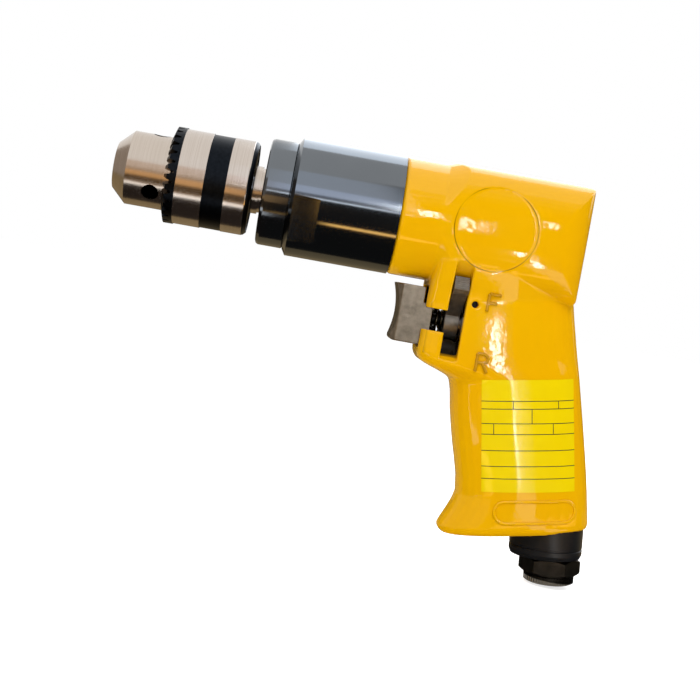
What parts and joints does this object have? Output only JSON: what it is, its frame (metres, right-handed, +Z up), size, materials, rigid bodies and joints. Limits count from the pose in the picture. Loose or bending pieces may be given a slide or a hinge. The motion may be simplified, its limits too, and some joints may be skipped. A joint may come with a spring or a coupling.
{
  "type": "air drill",
  "caption": "Reversible pistol grip air drill with a keyed three jaw chuck, planetary gear case, vane motor, sprung trigger and pipe threaded inlet under the grip.",
  "frame": {"origin": "centre of the chuck's mouth, on the spindle axis, at the nose face", "axes": "+X forward out of the chuck, +Y the tool's left side, +Z up, away from the grip"},
  "size_m": [0.2011, 0.0454, 0.1515],
  "materials": {
    "yellow_paint": "gloss yellow enamel on a die casting",
    "black_plated": "gloss black plated steel",
    "bright_steel": "turned bright steel",
    "dark_steel": "dark heat treated steel",
    "satin_steel": "satin sintered steel",
    "black_oxide": "black oxide",
    "hard_steel": "ground hardened steel",
    "motor_alloy": "machined alloy",
    "bronze": "sintered bronze",
    "rubber": "matt rubber",
    "vane_resin": "resin bonded fabric",
    "deflector_plastic": "satin black moulding",
    "felt": "grey felt",
    "gasket_fibre": "fibre gasket"
  },
  "bodies": {
    "housing": {"grip_housing": "yellow_paint", "gear_case": "black_plated", "clamp_nut": "black_plated", "front_bearing_outer": "hard_steel", "second_bearing_outer": "hard_steel", "motor_cylinder": "hard_steel", "front_end_plate": "motor_alloy", "rear_end_plate": "motor_alloy", "cylinder_dowel": "hard_steel", "motor_gasket": "gasket_fibre", "rotor_bearing_outer": "hard_steel", "tail_bearing_outer": "hard_steel", "valve_bushing": "bronze", "bushing_seals": "rubber", "bushing_pin": "dark_steel", "exhaust_deflector": "deflector_plastic", "muffler_felt": "felt", "inlet_bushing": "black_oxide", "inlet_seal": "rubber", "inlet_screen": "hard_steel"},
    "spindle_set": {"spindle": "hard_steel", "spindle_collar": "bright_steel", "planet_pins": "hard_steel", "front_bearing_inner": "hard_steel", "second_bearing_inner": "hard_steel", "chuck_body": "bright_steel", "chuck_screw": "black_oxide"},
    "sleeve_set": {"chuck_sleeve": "bright_steel", "chuck_nut": "dark_steel"},
    "jaw_1": {"chuck_jaw_1": "dark_steel"},
    "jaw_2": {"chuck_jaw_2": "dark_steel"},
    "jaw_3": {"chuck_jaw_3": "dark_steel"},
    "planet_1": {"planet_gear_1": "hard_steel", "planet_bush_1": "bronze"},
    "planet_2": {"planet_gear_2": "hard_steel", "planet_bush_2": "bronze"},
    "planet_3": {"planet_gear_3": "hard_steel", "planet_bush_3": "bronze"},
    "rotor_set": {"rotor": "hard_steel", "rotor_vanes": "vane_resin", "rotor_bearing_inner": "hard_steel", "tail_bearing_inner": "hard_steel"},
    "front_balls": {"front_bearing_balls": "hard_steel"},
    "second_balls": {"second_bearing_balls": "hard_steel"},
    "rotor_balls": {"rotor_bearing_balls": "hard_steel"},
    "tail_balls": {"tail_bearing_balls": "hard_steel"},
    "trigger_set": {"trigger": "satin_steel", "throttle_stem": "dark_steel", "trigger_pin": "hard_steel", "trigger_spring": "black_oxide", "throttle_valve": "rubber", "valve_spring": "hard_steel"},
    "lever_set": {"reverse_lever": "dark_steel", "reverse_valve": "hard_steel"}
  },
  "joints": [
    {"name": "spindle_spin", "type": "hinge", "parent": "housing", "child": "spindle_set", "pos_m": [-0.065, 0, 0], "axis": [1, 0, 0], "continuous": true},
    {"name": "rotor_spin", "type": "hinge", "parent": "housing", "child": "rotor_set", "pos_m": [-0.14, 0, 0], "axis": [1, 0, 0], "continuous": true},
    {"name": "planet_1_spin", "type": "hinge", "parent": "spindle_set", "child": "planet_1", "pos_m": [-0.097, 0, 0.012], "axis": [1, 0, 0], "continuous": true},
    {"name": "planet_2_spin", "type": "hinge", "parent": "spindle_set", "child": "planet_2", "pos_m": [-0.097, -0.01039, -0.006], "axis": [1, 0, 0], "continuous": true},
    {"name": "planet_3_spin", "type": "hinge", "parent": "spindle_set", "child": "planet_3", "pos_m": [-0.097, 0.01039, -0.006], "axis": [1, 0, 0], "continuous": true},
    {"name": "front_balls_orbit", "type": "hinge", "parent": "housing", "child": "front_balls", "pos_m": [-0.0648, 0, 0], "axis": [1, 0, 0], "continuous": true},
    {"name": "second_balls_orbit", "type": "hinge", "parent": "housing", "child": "second_balls", "pos_m": [-0.0835, 0, 0], "axis": [1, 0, 0], "continuous": true},
    {"name": "rotor_balls_orbit", "type": "hinge", "parent": "housing", "child": "rotor_balls", "pos_m": [-0.1178, 0, 0], "axis": [1, 0, 0], "continuous": true},
    {"name": "tail_balls_orbit", "type": "hinge", "parent": "housing", "child": "tail_balls", "pos_m": [-0.1665, 0, 0], "axis": [1, 0, 0], "continuous": true},
    {"name": "sleeve_turn", "type": "hinge", "parent": "spindle_set", "child": "sleeve_set", "pos_m": [-0.036, 0, 0], "axis": [-1, 0, 0], "range_deg": [0, 4499]},
    {"name": "jaw_1_slide", "type": "slide", "parent": "spindle_set", "child": "jaw_1", "axis": [0.9659, -0.24, -0.097], "range_m": [0, 0.01874]},
    {"name": "jaw_2_slide", "type": "slide", "parent": "spindle_set", "child": "jaw_2", "axis": [0.9659, 0.204, -0.1593], "range_m": [0, 0.01874]},
    {"name": "jaw_3_slide", "type": "slide", "parent": "spindle_set", "child": "jaw_3", "axis": [0.9659, 0.036, 0.2563], "range_m": [0, 0.01874]},
    {"name": "trigger_pull", "type": "slide", "parent": "housing", "child": "trigger_set", "axis": [-1, 0, 0], "range_m": [0, 0.0045], "stiffness_N_per_m": 900, "springref_m": -0.002, "deforming": ["trigger_spring", "valve_spring"]},
    {"name": "reverse_turn", "type": "hinge", "parent": "housing", "child": "lever_set", "pos_m": [-0.1356, 0, -0.0365], "axis": [1, 0, 0], "range_deg": [-70, 0]}
  ],
  "couplings": [
    {"joint": "rotor_spin", "follows": "spindle_spin", "ratio": 5},
    {"joint": "planet_1_spin", "follows": "spindle_spin", "ratio": -2.6667},
    {"joint": "planet_2_spin", "follows": "spindle_spin", "ratio": -2.6667},
    {"joint": "planet_3_spin", "follows": "spindle_spin", "ratio": -2.6667},
    {"joint": "front_balls_orbit", "follows": "spindle_spin", "ratio": 0.40596},
    {"joint": "second_balls_orbit", "follows": "spindle_spin", "ratio": 0.4214},
    {"joint": "rotor_balls_orbit", "follows": "spindle_spin", "ratio": 2.0667},
    {"joint": "tail_balls_orbit", "follows": "spindle_spin", "ratio": 1.8933},
    {"joint": "sleeve_turn", "follows": "jaw_1_slide", "rad_per_m": 4188.8},
    {"joint": "jaw_2_slide", "follows": "jaw_1_slide", "ratio": 1},
    {"joint": "jaw_3_slide", "follows": "jaw_1_slide", "ratio": 1}
  ]
}
